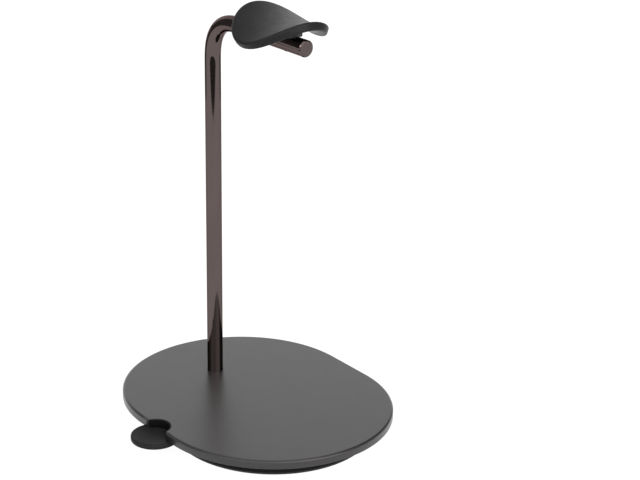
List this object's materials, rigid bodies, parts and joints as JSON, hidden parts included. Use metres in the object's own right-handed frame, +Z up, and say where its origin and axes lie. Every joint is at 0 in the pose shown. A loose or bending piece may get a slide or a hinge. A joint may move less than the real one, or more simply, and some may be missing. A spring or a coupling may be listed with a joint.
{
  "type": "headphone stand",
  "caption": "Desk stand for headphones: bent round post on a weighted obround base, soft curved saddle on the arm, cable rest at a notch in the plate.",
  "frame": {"origin": "centre of the base on the table", "axes": "+Z up; +X along the arm, from the post towards the arm's free end; the notch and cable rest are on the -Y side"},
  "size_m": [0.165, 0.1482, 0.239],
  "materials": {
    "plate_metal": "satin anodised, dark grey, fine even grain",
    "post_plating": "polished dark nickel plating with a slight brown tint",
    "saddle_rubber": "matte moulded silicone, almost black",
    "core_plastic": "matte moulded plastic, black",
    "rest_plastic": "semi-gloss moulded plastic, black",
    "tray_plastic": "matte moulded plastic, black",
    "pad_rubber": "matte non-slip rubber, black",
    "weight_steel": "zinc-plated steel",
    "screw_steel": "black oxide steel",
    "washer_steel": "zinc-plated steel",
    "foam": "adhesive foam, pale grey",
    "brass": "turned brass"
  },
  "bodies": {
    "root": {"base_plate": "plate_metal", "base_housing": "tray_plastic", "base_pad": "pad_rubber", "ballast_plate": "weight_steel", "ballast_pads": "foam", "housing_screws": "screw_steel", "cable_rest": "rest_plastic", "cable_rest_screws": "screw_steel", "post": "post_plating", "post_bolt": "screw_steel", "post_washer": "washer_steel", "post_lock_washer": "washer_steel", "saddle_cover": "saddle_rubber", "saddle_core": "core_plastic", "saddle_inserts": "brass", "saddle_spacer": "core_plastic", "saddle_screws": "screw_steel"}
  },
  "joints": []
}
